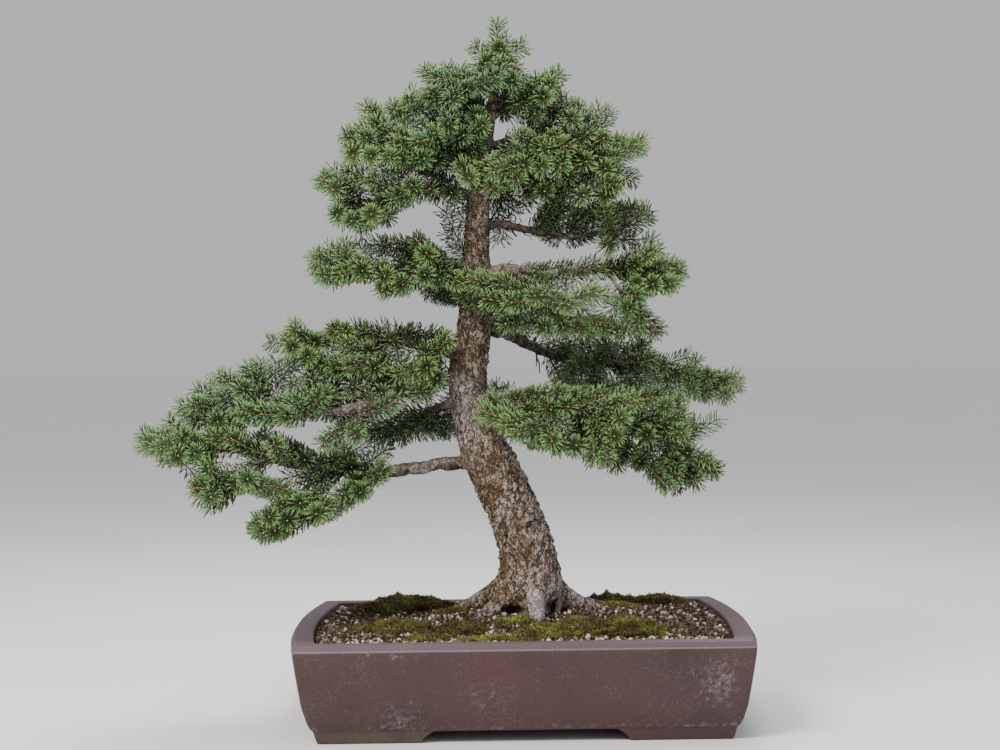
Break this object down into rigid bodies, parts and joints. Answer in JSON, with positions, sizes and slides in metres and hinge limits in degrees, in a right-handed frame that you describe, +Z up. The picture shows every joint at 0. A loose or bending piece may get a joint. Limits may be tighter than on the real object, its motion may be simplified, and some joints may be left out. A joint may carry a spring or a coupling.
{
  "type": "spruce bonsai",
  "caption": "Spruce bonsai, informal upright with a leaning trunk, bare limbs and tiers of short needled sprays, in a shallow footed stoneware tray with gritty soil and moss.",
  "frame": {"origin": "centre of the whole object's box, at the level of the pot's feet", "axes": "+X to the right of the long side shown, +Y from that side to the back, +Z up along the trunk"},
  "size_m": [0.6552, 0.358, 0.7395],
  "materials": {
    "stoneware": "matt, unglazed",
    "soil": "coarse mineral grains",
    "moss": "velvety",
    "bark": "scaly, rough",
    "needles": "slightly waxy",
    "plastic_mesh": "plain"
  },
  "bodies": {
    "root": {"drain_mesh_left": "plastic_mesh", "drain_mesh_right": "plastic_mesh", "moss_centre": "moss", "moss_front": "moss", "moss_front_left": "moss", "moss_rear_left": "moss", "moss_right": "moss", "pot": "stoneware", "soil": "soil", "spray_l1_back": "needles", "spray_l1_front": "needles", "spray_l1_inner": "needles", "spray_l1_low": "needles", "spray_l1_rear": "needles", "spray_l1_tip": "needles", "spray_l1_top": "needles", "spray_l2_front": "needles", "spray_l2_inner": "needles", "spray_l2_low": "needles", "spray_l2_rear": "needles", "spray_l2_tip": "needles", "spray_l3_back": "needles", "spray_l3_front": "needles", "spray_l3_low": "needles", "spray_l3_tip": "needles", "spray_l3_up": "needles", "spray_l4_back": "needles", "spray_l4_front": "needles", "spray_l4_low": "needles", "spray_l4_tip": "needles", "spray_l5_front": "needles", "spray_l5_rear": "needles", "spray_l5_tip": "needles", "spray_l6_back": "needles", "spray_l6_front": "needles", "spray_l6_tip": "needles", "spray_l7": "needles", "spray_r1_low": "needles", "spray_r1_tip": "needles", "spray_r2_low": "needles", "spray_r2_tip": "needles", "spray_r3_back": "needles", "spray_r3_inner": "needles", "spray_r3_tip": "needles", "spray_r4_front": "needles", "spray_r4_low": "needles", "spray_r4_tip": "needles", "spray_r5_back": "needles", "spray_r5_tip": "needles", "spray_r6_back": "needles", "spray_r6_front": "needles", "spray_r6_low": "needles", "spray_r6_tip": "needles", "spray_r7": "needles", "spray_r7_back": "needles", "spray_rear": "needles", "spray_rear_mid": "needles", "spray_top": "needles", "wood": "bark"}
  },
  "joints": []
}
